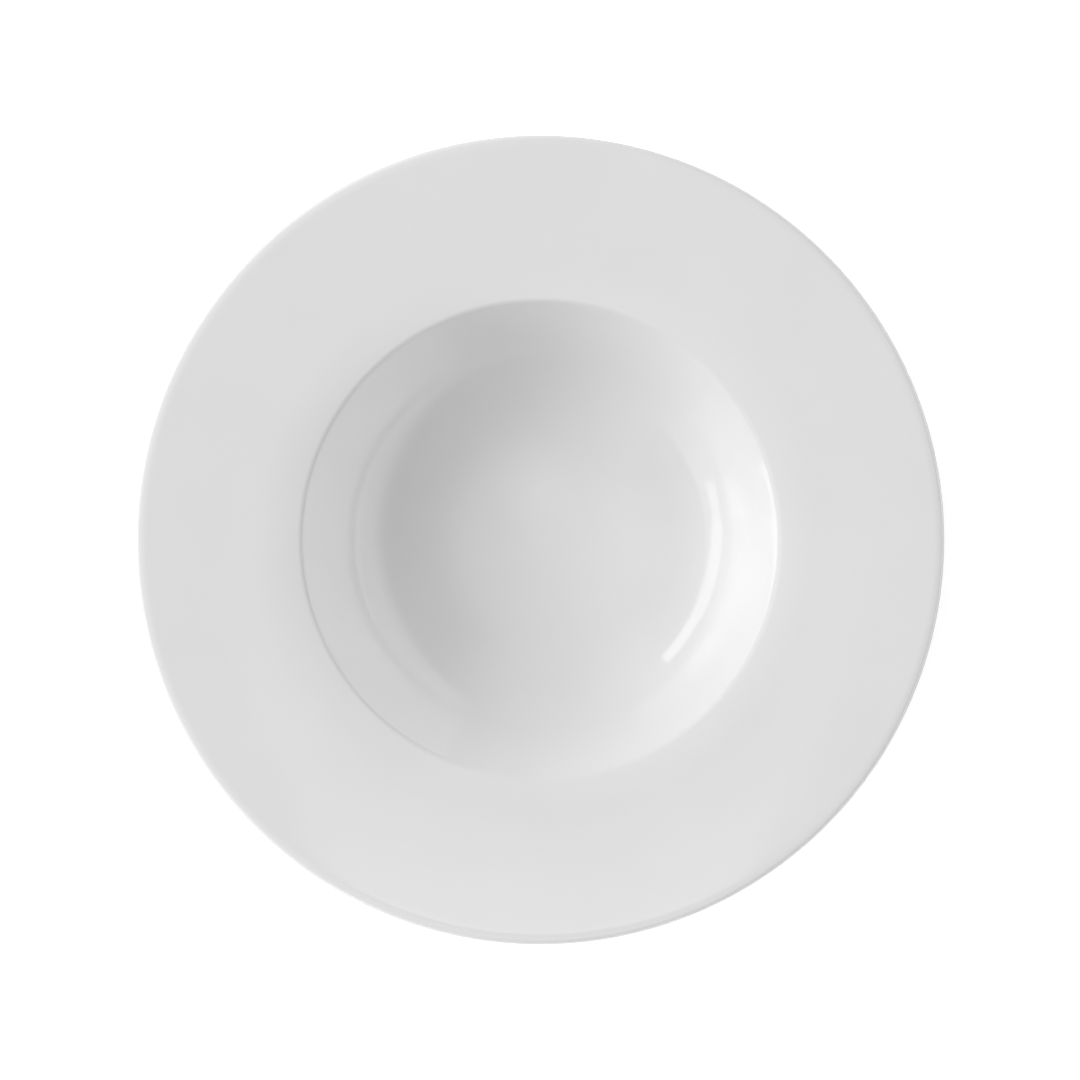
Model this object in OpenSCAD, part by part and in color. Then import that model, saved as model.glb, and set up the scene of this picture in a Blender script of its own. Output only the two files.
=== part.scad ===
// Pasta plate: a deep porcelain plate with a wide rim and a foot ring.
// The body is one turned and fired piece. Its glaze is a thin coat of glass in two skins,
// because the edge that the plate stands on is wiped bare and parts one skin from the other.
// Millimetres, +Z up, origin on the table under the middle of the plate.

/* [Rim] */
// Diameter over the glazed lip
plate_d = 300; // [270:1:330]
// Rise of the rim towards the lip, in degrees
rim_angle = 3; // [1:0.5:6]
// Thickness of the rim at its fully round lip
rim_t = 4; // [3:0.1:5]
// How much steeper the underside of the rim is than its top, in degrees
rim_taper = 1; // [0.4:0.1:1.4]
// Radius of the roll from the top of the rim down to the lip
lip_roll_r = 10; // [6:1:20]
// Slope of that roll where it meets the round of the lip, in degrees
lip_roll_angle = 11; // [8:1:16]

/* [Well] */
// Diameter at the top of the well's straight wall
well_d = 176; // [160:1:190]
// Depth from the top of the wall to the middle of the round floor
well_depth = 44.9; // [40:0.1:52]
// Slope of the wall, in degrees
wall_angle = 43.3; // [40:0.1:47]
// Radius of the shoulder between wall and rim
shoulder_r = 4.5; // [2.5:0.5:6]
// Radius of the gentle curve that leads from the shoulder to the rim
ease_r = 100; // [70:5:130]
// Slope where the shoulder meets that curve, in degrees
ease_angle = 11; // [8:0.5:14]

/* [Wall and base] */
// Thickness of the wall of the well
wall_t = 4.6; // [4:0.1:5.4]
// Thickness of the base inside the foot ring
base_t = 4.8; // [4.4:0.1:6]
// Radius under the rim where it meets the outside of the well
under_rim_r = 7; // [4:0.5:10]

/* [Foot ring] */
// Outside diameter of the foot ring at the table
foot_d = 88; // [80:1:96]
// Width of the foot ring at the table, before its edges are rounded
foot_w = 5.2; // [4.6:0.1:6.2]
// Draft on both sides of the foot ring, in degrees
foot_draft = 10; // [6:1:14]
// Radius of the bare edges of the foot ring
foot_edge_r = 1.2; // [0.8:0.1:1.4]
// Radius where the outside of the foot ring runs into the well
foot_out_r = 12; // [6:1:16]
// Radius where the inside of the foot ring runs into the base
foot_in_r = 4; // [2.5:0.5:5]
// Gap between the table and the middle of the base
base_gap = 1.8; // [1.4:0.1:3]

/* [Glaze] */
// Thickness of the glaze
glaze_t = 0.3; // [0.2:0.05:0.4]

/* [Hidden] */
$fn = 180;
// Largest gap between a curve and the short lines that draw it
curve_gap = 0.01;

// Direction that a surface faces: 0 is outward, 90 is up
function facing(angle) = [cos(angle), sin(angle)];
// Direction that a top surface faces where it rises outward at this slope
function above(slope) = facing(90 + slope);
// Direction that an underside faces where it rises outward at this slope
function below(slope) = facing(slope - 90);
// Slope of an underside that faces this way
function slope_below(v) = atan2(v.y, v.x) + 90;

// Heights, and the round floor that runs into the straight wall without a corner
floor_z = base_gap + base_t;
wall_top = [well_d / 2, floor_z + well_depth];
floor_r = (wall_top.x * sin(wall_angle) - well_depth * cos(wall_angle)) / (1 - cos(wall_angle));
floor_c = [0, floor_z + floor_r];

// Shoulder and the gentle curve beyond it
shoulder_c = wall_top - shoulder_r * above(wall_angle);
ease_c = shoulder_c - (ease_r - shoulder_r) * above(ease_angle);
ease_end = ease_c + ease_r * above(rim_angle);

// Lip: a roll, then a full round
lip_r = rim_t / 2;
lip_step = (lip_roll_r - lip_r) * above(-lip_roll_angle);
lip_roll_x = plate_d / 2 - lip_r - lip_step.x;
rim_w = lip_roll_x + lip_roll_r * above(rim_angle).x - ease_end.x;
rim_end = ease_end + [rim_w, rim_w * tan(rim_angle)];
lip_roll_c = rim_end - lip_roll_r * above(rim_angle);
lip_c = lip_roll_c + lip_step;

// Underside of the rim, and the curve that carries it into the outside of the wall
under_angle = rim_angle + rim_taper;
under_way = facing(under_angle);
wall_way = facing(wall_angle);
rim_side = lip_c + (lip_r + under_rim_r) * below(under_angle);
wall_side = wall_top + (wall_t + under_rim_r) * below(wall_angle);
under_len = cross(rim_side - wall_side, under_way) / cross(wall_way, under_way);
under_c = wall_side + under_len * wall_way;

// Foot ring: where a side at x = side_x + lean * z runs into a base curve of this radius
function fillet_z(side_x, lean, reach) =
    let (a = 1 + lean * lean)
    let (b = side_x * lean - floor_c.y)
    let (c = side_x * side_x + floor_c.y * floor_c.y - reach * reach)
    (-b - sqrt(b * b - a * c)) / a;
function fillet_c(side_x, lean, reach) =
    let (z = fillet_z(side_x, lean, reach))
    [side_x + lean * z, z];

foot_lean = tan(foot_draft);
foot_out = foot_d / 2;
foot_in = foot_out - foot_w;
foot_out_c = fillet_c(foot_out + foot_out_r / cos(foot_draft), foot_lean, floor_r + wall_t + foot_out_r);
foot_in_c = fillet_c(foot_in - foot_in_r / cos(foot_draft), -foot_lean, floor_r + base_t + foot_in_r);
foot_out_slope = slope_below(foot_out_c - floor_c);
foot_in_slope = slope_below(foot_in_c - floor_c);
edge_r = foot_edge_r + glaze_t;
edge_in = edge_r / cos(foot_draft) - foot_lean * foot_edge_r;
edge_out_c = [foot_out - edge_in, foot_edge_r];
edge_in_c = [foot_in + edge_in, foot_edge_r];

// Points of a curve about c, drawn for a surface that lies inset below the finished one
function curve_steps(r, turn) = ceil(abs(turn) / (2 * acos(1 - curve_gap / r)));
function curve(c, r, from, to, way, inset) =
    let (n = curve_steps(r, to - from))
    [for (i = [0 : n]) c + (r + way * inset) * facing(from + (to - from) * i / n)];
function hollow(c, r, from, to, inset) = curve(c, r, from, to, 1, inset);
function bulge(c, r, from, to, inset) = curve(c, r, from, to, -1, inset);

// From the middle of the floor over the lip to the outer edge of the bare foot
function main_skin(inset) = concat(
    hollow(floor_c, floor_r, -90, wall_angle - 90, inset),
    bulge(shoulder_c, shoulder_r, 90 + wall_angle, 90 + ease_angle, inset),
    bulge(ease_c, ease_r, 90 + ease_angle, 90 + rim_angle, inset),
    bulge(lip_roll_c, lip_roll_r, 90 + rim_angle, 90 - lip_roll_angle, inset),
    bulge(lip_c, lip_r, 90 - lip_roll_angle, under_angle - 90, inset),
    hollow(under_c, under_rim_r, 90 + under_angle, 90 + wall_angle, inset),
    bulge(floor_c, floor_r + wall_t, wall_angle - 90, foot_out_slope - 90, inset),
    hollow(foot_out_c, foot_out_r, 90 + foot_out_slope, 180 - foot_draft, inset),
    [edge_out_c + (edge_r - inset) * facing(-foot_draft)]
);

// The bare edge that the plate stands on
function foot_edge(inset) = concat(
    bulge(edge_out_c, edge_r, -foot_draft, -90, inset),
    bulge(edge_in_c, edge_r, -90, foot_draft - 180, inset)
);

// From the inner edge of the bare foot to the middle of the base
function base_skin(inset) = concat(
    [edge_in_c + (edge_r - inset) * facing(foot_draft - 180)],
    hollow(foot_in_c, foot_in_r, foot_draft, 90 + foot_in_slope, inset),
    bulge(floor_c, floor_r + base_t, foot_in_slope - 90, -90, inset)
);

// Joins run point on point, so a point that repeats the one before it is left out
function joined(points) = [
    for (i = [0 : len(points) - 1])
        if (i == 0 || norm(points[i] - points[i - 1]) > curve_gap / 10) points[i]
];
function backwards(points) = [for (i = [len(points) - 1 : -1 : 0]) points[i]];

// Fired porcelain, bare only at the edge it stands on
module porcelain_body() {
    color("WhiteSmoke")
        rotate_extrude()
            polygon(joined(concat(main_skin(glaze_t), foot_edge(glaze_t), base_skin(glaze_t))));
}

// One skin of glaze, between the finished surface and the body under it
module glaze_skin(finished, under) {
    color("White")
        rotate_extrude()
            polygon(joined(concat(finished, backwards(under))));
}

// Glaze over the well, the rim, the lip and the outside down to the foot
module main_glaze() {
    glaze_skin(main_skin(0), main_skin(glaze_t));
}

// Glaze on the base inside the foot ring
module base_glaze() {
    glaze_skin(base_skin(0), base_skin(glaze_t));
}

porcelain_body();
main_glaze();
base_glaze();
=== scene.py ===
"""Pasta plate: a deep porcelain plate with a wide rim, glazed white, seen from straight above."""
import math

import bpy
from mathutils import Matrix, Vector


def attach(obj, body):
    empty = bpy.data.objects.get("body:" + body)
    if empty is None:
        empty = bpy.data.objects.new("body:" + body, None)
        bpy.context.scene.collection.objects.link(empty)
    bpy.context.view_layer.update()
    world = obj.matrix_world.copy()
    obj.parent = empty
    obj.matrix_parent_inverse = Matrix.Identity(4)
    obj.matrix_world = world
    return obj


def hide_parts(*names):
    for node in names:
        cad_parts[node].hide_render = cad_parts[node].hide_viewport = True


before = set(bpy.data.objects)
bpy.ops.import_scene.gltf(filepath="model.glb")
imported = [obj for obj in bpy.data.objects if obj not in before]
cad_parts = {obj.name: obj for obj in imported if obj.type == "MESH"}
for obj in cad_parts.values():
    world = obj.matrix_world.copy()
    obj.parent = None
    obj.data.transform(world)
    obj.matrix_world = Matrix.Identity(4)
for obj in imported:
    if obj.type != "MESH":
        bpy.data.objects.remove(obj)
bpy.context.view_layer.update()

MM = 0.001

# The plate's measures, in millimetres and degrees, as its solids have them
PLATE_D = 300.0
RIM_ANGLE = 3.0
RIM_T = 4.0
RIM_TAPER = 1.0
LIP_ROLL_R = 10.0
LIP_ROLL_ANGLE = 11.0
WELL_D = 176.0
WELL_DEPTH = 44.9
WALL_ANGLE = 43.3
SHOULDER_R = 4.5
EASE_R = 100.0
EASE_ANGLE = 11.0
WALL_T = 4.6
BASE_T = 4.8
UNDER_RIM_R = 7.0
FOOT_D = 88.0
FOOT_W = 5.2
FOOT_DRAFT = 10.0
FOOT_EDGE_R = 1.2
FOOT_OUT_R = 12.0
FOOT_IN_R = 4.0
BASE_GAP = 1.8
GLAZE_T = 0.3

# How finely the turned pieces are drawn: degrees between points on each kind of curve
SEGMENTS = 256
WIDE_STEP = 1.25
SHOULDER_STEP = 2.0
TIGHT_STEP = 3.0
BARE_EDGE_STEP = 6.0
BEAD_STEP = 30.0

# Longest straight stretch and smallest gap between points, in millimetres
LINE_STEP = 2.5
SAME_POINT = 0.001

# Faces under the glaze are never seen, and are drawn this many times coarser
COVERED = 4.0

# Camera: straight above, with the lip filling the photograph's part of the frame
FRAME_PX = 1080
LIP_RADIUS_PX = 404.4
CAMERA_AWAY = 1.6
SENSOR = 36.0


def facing(angle):
    """Direction in the turned section that a surface faces: 0 is outward, 90 is up."""
    return Vector((math.cos(math.radians(angle)), math.sin(math.radians(angle))))


def above(slope):
    """Direction that a top surface faces where it rises outward at this slope."""
    return facing(90 + slope)


def below(slope):
    """Direction that an underside faces where it rises outward at this slope."""
    return facing(slope - 90)


def cross(a, b):
    """Cross product of two directions in the section: 0 where they are parallel."""
    return a.x * b.y - a.y * b.x


def slope_below(v):
    """Slope of an underside that faces this way."""
    return math.degrees(math.atan2(v.y, v.x)) + 90


# The well: a round floor that runs into a straight wall
floor_z = BASE_GAP + BASE_T
wall_top = Vector((WELL_D / 2, floor_z + WELL_DEPTH))
wall_sin = math.sin(math.radians(WALL_ANGLE))
wall_cos = math.cos(math.radians(WALL_ANGLE))
floor_r = (wall_top.x * wall_sin - WELL_DEPTH * wall_cos) / (1 - wall_cos)
floor_c = Vector((0, floor_z + floor_r))

# The shoulder, the gentle curve beyond it, and the rim out to its lip
shoulder_c = wall_top - SHOULDER_R * above(WALL_ANGLE)
ease_c = shoulder_c - (EASE_R - SHOULDER_R) * above(EASE_ANGLE)
ease_end = ease_c + EASE_R * above(RIM_ANGLE)
lip_r = RIM_T / 2
lip_step = (LIP_ROLL_R - lip_r) * above(-LIP_ROLL_ANGLE)
lip_roll_x = PLATE_D / 2 - lip_r - lip_step.x
rim_w = lip_roll_x + LIP_ROLL_R * above(RIM_ANGLE).x - ease_end.x
rim_end = ease_end + Vector((rim_w, rim_w * math.tan(math.radians(RIM_ANGLE))))
lip_roll_c = rim_end - LIP_ROLL_R * above(RIM_ANGLE)
lip_c = lip_roll_c + lip_step

# The underside of the rim, and the curve that carries it into the outside of the wall
under_angle = RIM_ANGLE + RIM_TAPER
rim_side = lip_c + (lip_r + UNDER_RIM_R) * below(under_angle)
wall_side = wall_top + (WALL_T + UNDER_RIM_R) * below(WALL_ANGLE)
wall_way = facing(WALL_ANGLE)
under_len = cross(rim_side - wall_side, facing(under_angle)) / cross(wall_way, facing(under_angle))
under_c = wall_side + under_len * wall_way

# The foot ring
foot_lean = math.tan(math.radians(FOOT_DRAFT))
foot_cos = math.cos(math.radians(FOOT_DRAFT))
foot_out = FOOT_D / 2
foot_in = foot_out - FOOT_W


def foot_fillet(side_x, lean, reach):
    """Middle of the curve where a leaning side of the foot runs into the round base."""
    a = 1 + lean * lean
    b = side_x * lean - floor_c.y
    c = side_x * side_x + floor_c.y * floor_c.y - reach * reach
    z = (-b - math.sqrt(b * b - a * c)) / a
    return Vector((side_x + lean * z, z))


foot_out_c = foot_fillet(foot_out + FOOT_OUT_R / foot_cos, foot_lean, floor_r + WALL_T + FOOT_OUT_R)
foot_in_c = foot_fillet(foot_in - FOOT_IN_R / foot_cos, -foot_lean, floor_r + BASE_T + FOOT_IN_R)
foot_out_slope = slope_below(foot_out_c - floor_c)
foot_in_slope = slope_below(foot_in_c - floor_c)
edge_r = FOOT_EDGE_R + GLAZE_T
edge_in = edge_r / foot_cos - foot_lean * FOOT_EDGE_R
edge_out_c = Vector((foot_out - edge_in, FOOT_EDGE_R))
edge_in_c = Vector((foot_in + edge_in, FOOT_EDGE_R))


def arc(centre, radius, start, end, step):
    """Points of a curve, close enough together to look round in a reflection."""
    count = max(1, math.ceil(abs(end - start) / step))
    return [centre + radius * facing(start + (end - start) * i / count) for i in range(count + 1)]


def joined(*runs):
    """One run of points, with long straight stretches split and doubled points left out."""
    points = []
    for point in (p for run in runs for p in run):
        if points:
            gap = point - points[-1]
            if gap.length < SAME_POINT:
                continue
            count = math.ceil(gap.length / LINE_STEP)
            points += [points[-1] + gap * i / count for i in range(1, count)]
        points.append(point)
    return points


def main_skin(inset, coarse=1.0):
    """Section from the middle of the floor over the lip to the outer edge of the bare foot."""
    wide = WIDE_STEP * coarse
    tight = TIGHT_STEP * coarse
    return joined(
        arc(floor_c, floor_r + inset, -90, WALL_ANGLE - 90, wide),
        arc(shoulder_c, SHOULDER_R - inset, 90 + WALL_ANGLE, 90 + EASE_ANGLE, SHOULDER_STEP * coarse),
        arc(ease_c, EASE_R - inset, 90 + EASE_ANGLE, 90 + RIM_ANGLE, wide),
        arc(lip_roll_c, LIP_ROLL_R - inset, 90 + RIM_ANGLE, 90 - LIP_ROLL_ANGLE, wide),
        arc(lip_c, lip_r - inset, 90 - LIP_ROLL_ANGLE, under_angle - 90, tight),
        arc(under_c, UNDER_RIM_R + inset, 90 + under_angle, 90 + WALL_ANGLE, tight),
        arc(floor_c, floor_r + WALL_T - inset, WALL_ANGLE - 90, foot_out_slope - 90, wide),
        arc(foot_out_c, FOOT_OUT_R + inset, 90 + foot_out_slope, 180 - FOOT_DRAFT, tight),
        [edge_out_c + (edge_r - inset) * facing(-FOOT_DRAFT)],
    )


def base_skin(inset, coarse=1.0):
    """Section from the inner edge of the bare foot to the middle of the base."""
    return joined(
        [edge_in_c + (edge_r - inset) * facing(FOOT_DRAFT - 180)],
        arc(foot_in_c, FOOT_IN_R + inset, FOOT_DRAFT, 90 + foot_in_slope, TIGHT_STEP * coarse),
        arc(floor_c, floor_r + BASE_T - inset, foot_in_slope - 90, -90, WIDE_STEP * coarse),
    )


def glaze_bead(edge_c, way, turn):
    """Rounded end of the glaze where it was wiped back from the foot."""
    middle = edge_c + (edge_r - GLAZE_T / 2) * facing(way)
    return arc(middle, GLAZE_T / 2, way, way + turn, BEAD_STEP)


def turned_piece(name, section):
    """Draws a section as a chain of edges beside the axis and spins it into a solid."""
    bpy.ops.object.select_all(action="DESELECT")
    bpy.ops.mesh.primitive_plane_add(size=MM, location=(0, 0, 0))
    piece = bpy.context.object
    piece.name = name
    piece.data.name = name
    bpy.ops.object.mode_set(mode="EDIT")
    bpy.ops.mesh.select_mode(type="VERT")
    bpy.ops.mesh.select_all(action="SELECT")
    bpy.ops.mesh.merge(type="CENTER")
    here = Vector((0, 0))
    for i, point in enumerate(section):
        step = (point - here) * MM
        move = {"value": (step.x, 0, step.y)}
        if i == 0:
            bpy.ops.transform.translate(**move)
        else:
            bpy.ops.mesh.extrude_region_move(TRANSFORM_OT_translate=move)
        here = point
    bpy.ops.mesh.select_all(action="SELECT")
    bpy.ops.mesh.spin(steps=SEGMENTS, angle=math.tau, center=(0, 0, 0), axis=(0, 0, 1))
    bpy.ops.mesh.select_all(action="SELECT")
    bpy.ops.mesh.remove_doubles(threshold=SAME_POINT * MM)
    bpy.ops.mesh.normals_make_consistent(inside=False)
    bpy.ops.object.mode_set(mode="OBJECT")
    bpy.ops.object.shade_smooth()
    return piece


def hex_colour(code):
    """A colour written as sRGB hex, as the linear values that the nodes take."""
    values = [int(code[i:i + 2], 16) / 255 for i in (1, 3, 5)]
    return [v / 12.92 if v <= 0.04045 else ((v + 0.055) / 1.055) ** 2.4 for v in values] + [1.0]


def node(tree, kind, inputs=None, **settings):
    """Adds a node with its settings, and sets or links its inputs."""
    made = tree.nodes.new(kind)
    for key, value in settings.items():
        setattr(made, key, value)
    for key, value in (inputs or {}).items():
        if isinstance(value, bpy.types.NodeSocket):
            tree.links.new(value, made.inputs[key])
        else:
            made.inputs[key].default_value = value
    return made


# A Mix node's sockets for colours
COLOUR_A, COLOUR_B, COLOUR_OUT = 6, 7, 2

WHITE = (1, 1, 1, 1)
BLACK = (0, 0, 0, 1)


def new_material(name):
    """An empty material and its node tree."""
    material = bpy.data.materials.new(name)
    material.use_nodes = True
    material.node_tree.nodes.clear()
    return material, material.node_tree


# The camera looks straight down from over the middle of the plate
view_width = PLATE_D / 2 * MM * FRAME_PX / LIP_RADIUS_PX
camera_data = bpy.data.cameras.new("camera_above")
camera_data.sensor_width = SENSOR
camera_data.lens = SENSOR * CAMERA_AWAY / view_width
camera_data.clip_end = 100
camera = bpy.data.objects.new("camera_above", camera_data)
camera.location = (0, 0, lip_c.y * MM + CAMERA_AWAY)
bpy.context.scene.collection.objects.link(camera)
bpy.context.scene.camera = camera

# The three pieces: the fired body, the glaze over it, and the glaze inside its foot ring
bead_out = glaze_bead(edge_out_c, -FOOT_DRAFT, -180)
bead_in = glaze_bead(edge_in_c, FOOT_DRAFT - 180, 180)
bare_edge = (
    arc(edge_out_c, edge_r - GLAZE_T, -FOOT_DRAFT, -90, BARE_EDGE_STEP)
    + arc(edge_in_c, edge_r - GLAZE_T, -90, FOOT_DRAFT - 180, BARE_EDGE_STEP)
)
body = turned_piece(
    "fired_porcelain_body",
    joined(main_skin(GLAZE_T, COVERED), bare_edge, base_skin(GLAZE_T, COVERED)),
)
glaze = turned_piece(
    "glaze_over_the_plate",
    joined(main_skin(0), bead_out, main_skin(GLAZE_T, COVERED)[::-1]),
)
base = turned_piece(
    "glaze_under_the_base",
    joined(base_skin(0)[::-1], bead_in, base_skin(GLAZE_T, COVERED)),
)


def clear_glaze():
    """Clear glaze on white porcelain: fired to a glass, so it mirrors the lamps sharply over a soft white."""
    material, tree = new_material("clear_glaze_on_white_porcelain")
    place = node(tree, "ShaderNodeTexCoord").outputs["Object"]
    flat = node(tree, "ShaderNodeVectorMath", {0: place, 1: (1, 1, 0)}, operation="MULTIPLY").outputs[0]
    radius = node(tree, "ShaderNodeVectorMath", {0: flat}, operation="LENGTH").outputs["Value"]

    # The glaze lies a little thicker in some places than in others, in clouds about 45 mm across
    clouds = node(tree, "ShaderNodeTexNoise", {"Vector": place, "Scale": 1 / (45 * MM), "Detail": 2.0})
    depth = node(tree, "ShaderNodeMapRange", {
        "Value": clouds.outputs["Fac"], "From Min": 0.3, "From Max": 0.7,
    })
    white = node(tree, "ShaderNodeMix", {
        0: depth.outputs["Result"], COLOUR_A: hex_colour("#E8E8E8"), COLOUR_B: hex_colour("#E6E6E6"),
    }, data_type="RGBA").outputs[COLOUR_OUT]

    # Pin specks of iron in the body show grey through the glaze: about 0.5 mm across, in a fifth of the
    # cells of a loose net with 30 mm between its knots
    net = 30.0
    core = 0.15
    edge = 0.4
    cells = node(tree, "ShaderNodeTexVoronoi", {"Vector": place, "Scale": 1 / (net * MM)})
    speck = node(tree, "ShaderNodeMapRange", {
        "Value": cells.outputs["Distance"],
        "From Min": core / net, "From Max": edge / net, "To Min": 1.0, "To Max": 0.0,
    })
    chance = node(tree, "ShaderNodeSeparateColor", {"Color": cells.outputs["Color"]}).outputs["Red"]
    rare = node(tree, "ShaderNodeMath", {0: chance, 1: 0.8}, operation="GREATER_THAN").outputs[0]
    shown = node(tree, "ShaderNodeMath", {
        0: speck.outputs["Result"], 1: rare,
    }, operation="MULTIPLY").outputs[0]
    colour = node(tree, "ShaderNodeMix", {
        0: shown, COLOUR_A: white, COLOUR_B: hex_colour("#8E8C88"),
    }, data_type="RGBA").outputs[COLOUR_OUT]

    # Faint turning rings about 5 mm apart, and the soft ripple of melted glaze, about 7 mm across
    rings = node(tree, "ShaderNodeTexNoise", {
        "W": radius, "Scale": 1 / (5 * MM), "Detail": 1.0,
    }, noise_dimensions="1D")
    ripple = node(tree, "ShaderNodeTexNoise", {"Vector": place, "Scale": 1 / (7 * MM), "Detail": 0.0})
    ring_bump = node(tree, "ShaderNodeBump", {"Height": rings.outputs["Fac"], "Distance": 0.006 * MM})
    bump = node(tree, "ShaderNodeBump", {
        "Height": ripple.outputs["Fac"], "Distance": 0.004 * MM, "Normal": ring_bump.outputs["Normal"],
    })

    # Gloss: nearly a mirror, a touch softer where the fired surface is finely dimpled, 1.2 mm across
    dimples = node(tree, "ShaderNodeTexNoise", {"Vector": place, "Scale": 1 / (1.2 * MM), "Detail": 1.0})
    gloss = node(tree, "ShaderNodeMapRange", {
        "Value": dimples.outputs["Fac"], "To Min": 0.045, "To Max": 0.075,
    })
    shader = node(tree, "ShaderNodeBsdfPrincipled", {
        "Base Color": colour, "Roughness": gloss.outputs["Result"],
        "Normal": bump.outputs["Normal"], "IOR": 1.5,
    })
    node(tree, "ShaderNodeOutputMaterial", {"Surface": shader.outputs["BSDF"]})
    return material


def ground_porcelain():
    """Bare fired porcelain: ground flat where the plate stands, so it is matt and finely grained."""
    material, tree = new_material("bare_ground_porcelain")
    place = node(tree, "ShaderNodeTexCoord").outputs["Object"]

    # Grain of the fired clay, 0.5 mm across, and faint stains from use, 14 mm across
    grain = node(tree, "ShaderNodeTexNoise", {"Vector": place, "Scale": 1 / (0.5 * MM), "Detail": 3.0})
    stain = node(tree, "ShaderNodeTexNoise", {"Vector": place, "Scale": 1 / (14 * MM), "Detail": 2.0})
    worn = node(tree, "ShaderNodeMapRange", {
        "Value": stain.outputs["Fac"], "From Min": 0.35, "From Max": 0.65,
    })
    colour = node(tree, "ShaderNodeMix", {
        0: worn.outputs["Result"], COLOUR_A: hex_colour("#DEDBD6"), COLOUR_B: hex_colour("#D2CEC7"),
    }, data_type="RGBA").outputs[COLOUR_OUT]
    bump = node(tree, "ShaderNodeBump", {"Height": grain.outputs["Fac"], "Distance": 0.03 * MM})
    rough = node(tree, "ShaderNodeMapRange", {
        "Value": grain.outputs["Fac"], "To Min": 0.6, "To Max": 0.85,
    })
    shader = node(tree, "ShaderNodeBsdfPrincipled", {
        "Base Color": colour, "Roughness": rough.outputs["Result"],
        "Normal": bump.outputs["Normal"], "IOR": 1.5,
    })
    node(tree, "ShaderNodeOutputMaterial", {"Surface": shader.outputs["BSDF"]})
    return material


body.data.materials.append(ground_porcelain())
glaze_material = clear_glaze()
glaze.data.materials.append(glaze_material)
base.data.materials.append(glaze_material)

for piece, cad_node, slot in (
    (body, "porcelain_body", "bare_porcelain"),
    (glaze, "main_glaze", "white_glaze"),
    (base, "base_glaze", "white_glaze"),
):
    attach(piece, "root")
    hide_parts(cad_node)


def white_to_the_eye(tree):
    """1 for a ray from the camera, or one that a glossy or clear surface sends on; else 0."""
    path = node(tree, "ShaderNodeLightPath").outputs
    seen = path["Is Camera Ray"]
    for ray in ("Is Glossy Ray", "Is Transmission Ray"):
        seen = node(tree, "ShaderNodeMath", {0: seen, 1: path[ray]}, operation="MAXIMUM").outputs[0]
    return seen


# A white table that fades into a white room, and keeps the plate's soft shadow; clear from below
TABLE_R = 12.0
SHADOW_FADES_FROM = 0.35
SHADOW_GONE_AT = 0.8
TABLE_GLOW = 0.66
bpy.ops.object.select_all(action="DESELECT")
bpy.ops.mesh.primitive_circle_add(vertices=128, radius=TABLE_R, fill_type="NGON", location=(0, 0, 0))
table = bpy.context.object
table.name = "white_table"
material, tree = new_material("white_table")
lit = node(tree, "ShaderNodeBsdfDiffuse", {"Color": hex_colour("#E6E6E6")}).outputs[0]
faint = node(tree, "ShaderNodeBsdfDiffuse", {"Color": hex_colour("#D0D0D0")}).outputs[0]
glow = node(tree, "ShaderNodeEmission", {"Color": WHITE, "Strength": TABLE_GLOW}).outputs[0]
near = node(tree, "ShaderNodeAddShader", {0: faint, 1: glow}).outputs[0]
far = node(tree, "ShaderNodeEmission", {"Color": WHITE, "Strength": 1.0}).outputs[0]
place = node(tree, "ShaderNodeTexCoord").outputs["Object"]
distance = node(tree, "ShaderNodeVectorMath", {0: place}, operation="LENGTH").outputs["Value"]
fade = node(tree, "ShaderNodeMapRange", {
    "Value": distance, "From Min": SHADOW_FADES_FROM, "From Max": SHADOW_GONE_AT,
}, interpolation_type="SMOOTHSTEP").outputs["Result"]
shown = node(tree, "ShaderNodeMixShader", {0: fade, 1: near, 2: far}).outputs[0]
front = node(tree, "ShaderNodeMixShader", {0: white_to_the_eye(tree), 1: lit, 2: shown}).outputs[0]
back = node(tree, "ShaderNodeBsdfTransparent").outputs[0]
side = node(tree, "ShaderNodeNewGeometry").outputs["Backfacing"]
surface = node(tree, "ShaderNodeMixShader", {0: side, 1: front, 2: back}).outputs[0]
node(tree, "ShaderNodeOutputMaterial", {"Surface": surface})
table.data.materials.append(material)

# White all round: plain white to the eye, and on the plate a fill from the sides, strongest from the left
SIDE_FILL = (0.68, 0.37, 0.0)
LEFT_FILL = 1.26
TO_THE_LEFT = (-0.84, 0.2, 0.5)
world = bpy.data.worlds.new("white_room")
bpy.context.scene.world = world
world.use_nodes = True
tree = world.node_tree
tree.nodes.clear()
toward = node(tree, "ShaderNodeTexCoord").outputs["Generated"]
either_side = node(tree, "ShaderNodeVectorMath", {0: toward}, operation="ABSOLUTE").outputs[0]
sides = node(tree, "ShaderNodeVectorMath", {
    0: either_side, 1: SIDE_FILL,
}, operation="DOT_PRODUCT").outputs["Value"]
leftward = node(tree, "ShaderNodeVectorMath", {
    0: toward, 1: TO_THE_LEFT,
}, operation="DOT_PRODUCT").outputs["Value"]
left = node(tree, "ShaderNodeMath", {0: leftward, 1: 0.0}, operation="MAXIMUM").outputs[0]
level = node(tree, "ShaderNodeMath", {0: left, 1: LEFT_FILL, 2: sides}, operation="MULTIPLY_ADD").outputs[0]
fill = node(tree, "ShaderNodeBackground", {"Strength": level}).outputs[0]
white = node(tree, "ShaderNodeBackground", {"Color": WHITE, "Strength": 1.0}).outputs[0]
room = node(tree, "ShaderNodeMixShader", {0: white_to_the_eye(tree), 1: fill, 2: white}).outputs[0]
node(tree, "ShaderNodeOutputWorld", {"Surface": room})


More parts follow.
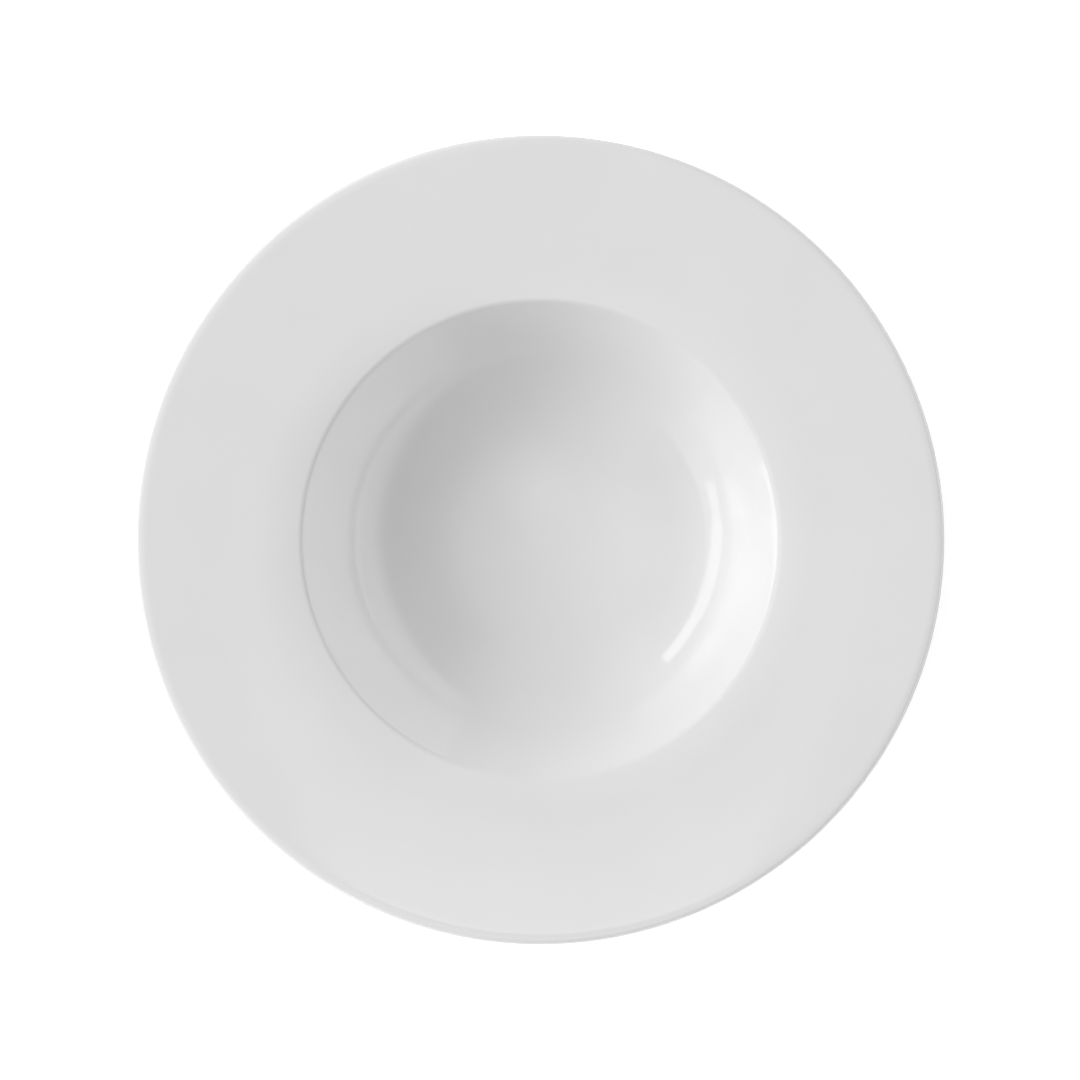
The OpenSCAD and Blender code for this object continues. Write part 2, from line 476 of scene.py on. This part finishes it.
def softbox(name, place, width, height, brightness, spread=180):
    """A soft lamp that the camera doesn't see, whose open face has this brightness, where 1 is white.

    A narrower spread gathers the same light into a narrower beam, so it takes a smaller number.
    """
    data = bpy.data.lights.new(name, "AREA")
    data.shape = "RECTANGLE"
    data.size = width
    data.size_y = height
    data.energy = brightness * math.pi * width * height
    data.spread = math.radians(spread)
    lamp = bpy.data.objects.new(name, data)
    lamp.matrix_world = place
    lamp.visible_camera = False
    bpy.context.scene.collection.objects.link(lamp)


def overhead(x, y, z, tilt=0.0):
    """Place of a panel that hangs over the plate, tipped back towards the far side by this angle."""
    return Matrix.Translation((x, y, z)) @ Matrix.Rotation(math.radians(tilt), 4, "X")


def strip(name, azimuth, bottom, top, width, brightness, distance=1.0, roll=0.0, spread=180):
    """An upright lamp that faces the plate: azimuth runs anticlockwise from +X, seen from above."""
    out = Vector((math.cos(math.radians(azimuth)), math.sin(math.radians(azimuth)), 0))
    middle = out * distance + Vector((0, 0, (bottom + top) / 2))
    turn = out.to_track_quat("Z", "Y").to_matrix().to_4x4()
    rolled = Matrix.Rotation(math.radians(roll), 4, "Z")
    softbox(name, Matrix.Translation(middle) @ turn @ rolled, width, top - bottom, brightness, spread)


# Soft light from above and from the front, and a narrow beam on the near part of the rim
softbox("overhead_softbox", overhead(0, 0, 1.5), 5.0, 5.0, 0.110, 90)
softbox("front_softbox", overhead(0, -0.6, 1.5, 22), 3.0, 3.0, 0.037, 40)
softbox("rim_light", overhead(0, -0.2, 1.6), 0.14, 0.4, 0.0013, 5)

# A low lamp in front that brightens the near edge of the lip
strip("low_strip", -95, 0.0, 0.07, 0.9, 10.0, distance=0.9)

# Lamps on the left: the straight wall mirrors the low ones as the outer band of the highlight
strip("left_glow", 168, 0.0, 0.168, 3.5, 0.42, spread=130)
strip("left_glow_start", 210, 0.1, 0.17, 0.39, 0.5)
strip("left_glow_end", 135, 0.1, 0.16, 0.57, 0.6)
strip("left_strip", 168.5, 0.0, 0.165, 1.12, 0.85)
strip("left_strip_low_start", 192.5, 0.1, 0.163, 0.228, 0.7)

# The edge of the floor mirrors those above them as its inner band
strip("left_strip_start", 192.5, 0.179, 0.26, 0.228, 1.9, roll=-3)
strip("left_strip_top", 170, 0.192, 0.301, 0.574, 2.1, roll=-3.5)
strip("left_strip_end", 145, 0.222, 0.313, 0.316, 2.6, roll=-1.5)

# Lamps on the right, behind the flag, that the left wall mirrors
strip("right_strip", 0, 0.0, 0.19, 4.4, 1.2, distance=0.95, spread=150)
strip("right_strip_top", 0, 0.19, 0.47, 4.4, 0.8, distance=0.95, spread=150)

FLAG_TOP = 1.7


def black_flag(name, radius, edges, lower, upper, way, ends):
    """A curved black flag round the plate that the camera doesn't see, thinned out on all sides.

    The smallest product of a place and one of the edges is its height over the slanting lower edges, and
    its product with way is how far along the flag it is. Each pair gives where the cover is none and full.
    """
    bpy.ops.object.select_all(action="DESELECT")
    bpy.ops.mesh.primitive_cylinder_add(
        vertices=128, radius=radius, depth=FLAG_TOP, end_fill_type="NOTHING", location=(0, 0, 0),
    )
    flag = bpy.context.object
    flag.name = name
    flag.data.transform(Matrix.Translation((0, 0, FLAG_TOP / 2 + MM)))
    flag.visible_camera = False
    material, tree = new_material(name)
    place = node(tree, "ShaderNodeTexCoord").outputs["Object"]
    along, height, *others = [
        node(tree, "ShaderNodeVectorMath", {0: place, 1: line}, operation="DOT_PRODUCT").outputs["Value"]
        for line in (way, *edges)
    ]
    for other in others:
        height = node(tree, "ShaderNodeMath", {0: height, 1: other}, operation="MINIMUM").outputs[0]
    cover, *fades = [
        node(tree, "ShaderNodeMapRange", {
            "Value": value, "From Min": none, "From Max": full,
        }, interpolation_type="SMOOTHSTEP").outputs["Result"]
        for value, (none, full) in ((height, lower), (height, upper), (along, ends))
    ]
    for fade in fades:
        cover = node(tree, "ShaderNodeMath", {0: cover, 1: fade}, operation="MULTIPLY").outputs[0]
    black = node(tree, "ShaderNodeBsdfDiffuse", {"Color": BLACK}).outputs[0]
    clear = node(tree, "ShaderNodeBsdfTransparent").outputs[0]
    surface = node(tree, "ShaderNodeMixShader", {0: cover, 1: clear, 2: black}).outputs[0]
    node(tree, "ShaderNodeOutputMaterial", {"Surface": surface})
    flag.data.materials.append(material)
    return flag


# The right flag keeps light off that side, and the left of the floor mirrors it as a dark crescent
black_flag(
    "right_flag", 0.9,
    edges=((-0.388, -0.104, 1.0), (-0.388, 0.0, 1.0)), lower=(-0.11, 0.11), upper=(1.2, 0.35),
    way=(1.044, -0.378, 0.0), ends=(-0.2, 0.5),
)

# The left flag stands over the strips and shows only in the glaze
left_flag = black_flag(
    "left_flag", 0.93,
    edges=((0.0, 0.0, 1.0),), lower=(0.30, 0.33), upper=(1.2, 0.5),
    way=(-1 / 0.93, 0.0, 0.0), ends=(0.62, 0.94),
)
left_flag.visible_diffuse = False
left_flag.visible_shadow = False

bpy.context.scene.view_settings.view_transform = "Standard"
